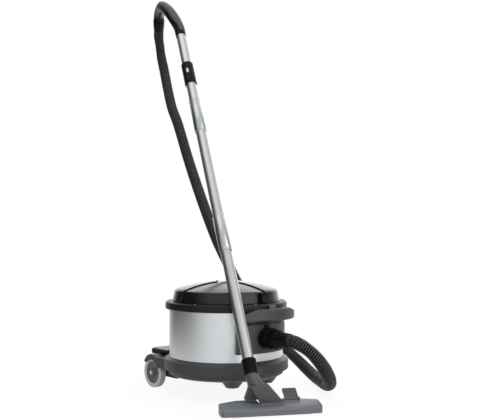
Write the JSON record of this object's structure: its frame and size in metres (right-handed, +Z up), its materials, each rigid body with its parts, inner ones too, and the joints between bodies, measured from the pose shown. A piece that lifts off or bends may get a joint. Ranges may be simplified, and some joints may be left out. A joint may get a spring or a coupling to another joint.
{
  "type": "tub vacuum cleaner",
  "caption": "Round steel tub vacuum cleaner on wheels, with a ribbed hose, a straight wand with a bent handle, and a flat floor head, parked with the wand leaning on the lid.",
  "frame": {"origin": "middle of the footprint of the parked machine on the floor, the hose left out", "axes": "+Z up; the tub's hose inlet faces -Y and its rear wheels are at +Y"},
  "size_m": [0.5615, 1.1257, 1.3001],
  "materials": {
    "base_plastic": "fine moulded grain, dark grey",
    "panel_plastic": "fine moulded grain, dark grey",
    "tub_steel": "satin steel, brushed round the tub",
    "lid_plastic": "moulded, near black",
    "wing_plastic": "moulded, near black, slightly lighter",
    "black_plastic": "moulded, black",
    "hose_plastic": "ribbed, slightly shiny black",
    "grip_shell": "moulded mid grey",
    "tube_aluminium": "satin anodised",
    "sleeve_aluminium": "satin anodised, ringed",
    "shelf_grey": "light grey rubbery tray",
    "tyre_grey": "soft grey tread",
    "hub_grey": "moulded dark grey",
    "castor_grey": "moulded grey",
    "castor_tread": "black rubber",
    "pin_steel": "bright steel pin",
    "sole_steel": "stainless sole plate",
    "brush_hair": "dense black bristle",
    "seal_rubber": "black rubber",
    "motor_plastic": "glass filled moulding",
    "motor_steel": "pressed steel",
    "fan_aluminium": "pressed sheet",
    "rotor_copper": "copper winding and steel core",
    "brass_holder": "pressed brass",
    "filter_cloth": "felted filter cloth",
    "bag_paper": "brown filter paper",
    "switch_black": "moulded, glossy black",
    "catch_grey": "moulded grey",
    "screw_steel": "zinc plated"
  },
  "bodies": {
    "root": {"chassis": "base_plastic", "tub": "tub_steel", "rear_shelf": "black_plastic", "shelf_tray": "shelf_grey", "front_panel": "panel_plastic", "carry_handle": "panel_plastic", "inlet_socket": "black_plastic", "suction_hose": "hose_plastic", "lid_rim": "lid_plastic", "lid_dome": "lid_plastic", "lid_wings": "wing_plastic", "lid_seal": "seal_rubber", "motor_plate": "motor_plastic", "fan_case": "motor_steel", "motor_body": "motor_steel", "motor_bearings": "pin_steel", "brush_holders": "brass_holder", "exhaust_filter": "filter_cloth", "main_filter": "filter_cloth", "bag_collar": "bag_paper", "dust_bag": "bag_paper", "switch_frame": "black_plastic", "cord_gland": "black_plastic", "catch_keepers": "screw_steel", "screws": "screw_steel", "rear_axle": "pin_steel"},
    "connector": {"hose_connector": "black_plastic"},
    "wand": {"handle_bend": "black_plastic", "handle_top_shell": "grip_shell", "handle_tube": "tube_aluminium", "upper_tube": "tube_aluminium", "lower_tube": "tube_aluminium", "tube_sleeves": "sleeve_aluminium", "neck_collar": "black_plastic"},
    "cuff": {"hose_cuff_top": "black_plastic"},
    "regulator": {"regulator_sleeve": "black_plastic"},
    "neck": {"neck_elbow": "lid_plastic", "neck_yoke": "lid_plastic"},
    "head": {"yoke_pin": "pin_steel", "head_shell": "base_plastic", "head_sole": "sole_steel", "pedal_pin": "pin_steel"},
    "brushes": {"brush_carrier": "castor_grey", "brush_strips": "brush_hair"},
    "pedal": {"pedal": "panel_plastic"},
    "roller_left": {"head_roller_left": "castor_grey"},
    "roller_right": {"head_roller_right": "castor_grey"},
    "rotor": {"motor_shaft": "rotor_copper", "fan": "fan_aluminium"},
    "switch": {"power_switch": "switch_black"},
    "catch_front": {"catch_front": "catch_grey"},
    "catch_rear": {"catch_rear": "catch_grey"},
    "wheel_left": {"hub_left": "hub_grey", "tyre_left": "tyre_grey"},
    "wheel_right": {"hub_right": "hub_grey", "tyre_right": "tyre_grey"},
    "castor": {"castor_fork": "castor_grey"},
    "castor_wheel": {"castor_wheel": "castor_tread"}
  },
  "joints": [
    {"name": "wand_lean", "type": "hinge", "parent": "root", "child": "wand", "pos_m": [-0.102, -0.455, 0.022], "axis": [0.8894, -0.4571, 0], "range_deg": [0, 30], "deforming": ["suction_hose"]},
    {"name": "neck_swivel", "type": "hinge", "parent": "wand", "child": "neck", "pos_m": [-0.13677, -0.41032, 0.12169], "axis": [0.1981, 0.5229, 0.829], "range_deg": [-15, 15]},
    {"name": "neck_tilt", "type": "hinge", "parent": "neck", "child": "head", "pos_m": [-0.102, -0.455, 0.022], "axis": [0.8894, -0.4571, 0], "range_deg": [-30, 0]},
    {"name": "pedal_press", "type": "hinge", "parent": "head", "child": "pedal", "pos_m": [-0.04381, -0.47085, 0.0345], "axis": [0.8894, -0.4571, 0], "range_deg": [-22, 0]},
    {"name": "brush_lift", "type": "slide", "parent": "head", "child": "brushes", "axis": [0, 0, 1], "range_m": [0, 0.00498]},
    {"name": "roller_left_spin", "type": "hinge", "parent": "head", "child": "roller_left", "pos_m": [-0.14678, -0.39994, 0.008], "axis": [0.8894, -0.4571, 0], "continuous": true},
    {"name": "roller_right_spin", "type": "hinge", "parent": "head", "child": "roller_right", "pos_m": [-0.0365, -0.45662, 0.008], "axis": [0.8894, -0.4571, 0], "continuous": true},
    {"name": "regulator_slide", "type": "slide", "parent": "wand", "child": "regulator", "axis": [0.1981, 0.5229, 0.829], "range_m": [0, 0.012]},
    {"name": "cuff_swivel", "type": "hinge", "parent": "wand", "child": "cuff", "pos_m": [0.216, 0.524, 1.236], "axis": [0.4526, 0.6788, -0.5783], "continuous": true},
    {"name": "connector_swivel", "type": "hinge", "parent": "root", "child": "connector", "pos_m": [-0.002, -0.397, 0.175], "axis": [0, -1, 0], "continuous": true},
    {"name": "wheel_left_spin", "type": "hinge", "parent": "root", "child": "wheel_left", "pos_m": [-0.126, 0.043, 0.045], "axis": [1, 0, 0], "continuous": true},
    {"name": "wheel_right_spin", "type": "hinge", "parent": "root", "child": "wheel_right", "pos_m": [0.122, 0.043, 0.045], "axis": [1, 0, 0], "continuous": true},
    {"name": "castor_swivel", "type": "hinge", "parent": "root", "child": "castor", "pos_m": [-0.002, -0.273, 0.07], "axis": [0, 0, 1], "continuous": true},
    {"name": "castor_roll", "type": "hinge", "parent": "castor", "child": "castor_wheel", "pos_m": [-0.002, -0.263, 0.017], "axis": [1, 0, 0], "continuous": true},
    {"name": "rotor_spin", "type": "hinge", "parent": "root", "child": "rotor", "pos_m": [-0.002, -0.147, 0.26], "axis": [0, 0, 1], "continuous": true},
    {"name": "switch_rock", "type": "hinge", "parent": "root", "child": "switch", "pos_m": [0.00789, -0.30419, 0.2825], "axis": [0.998, 0.0628, 0], "range_deg": [0, 12]},
    {"name": "catch_front_open", "type": "hinge", "parent": "root", "child": "catch_front", "pos_m": [0.01702, -0.328, 0.262], "axis": [-0.9945, -0.1045, 0], "range_deg": [0, 12]},
    {"name": "catch_rear_open", "type": "hinge", "parent": "root", "child": "catch_rear", "pos_m": [-0.002, 0.035, 0.262], "axis": [1, 0, 0], "range_deg": [0, 60]}
  ],
  "couplings": [
    {"joint": "neck_tilt", "follows": "wand_lean", "ratio": -1},
    {"joint": "pedal_press", "follows": "brush_lift", "rad_per_m": -76.9}
  ]
}
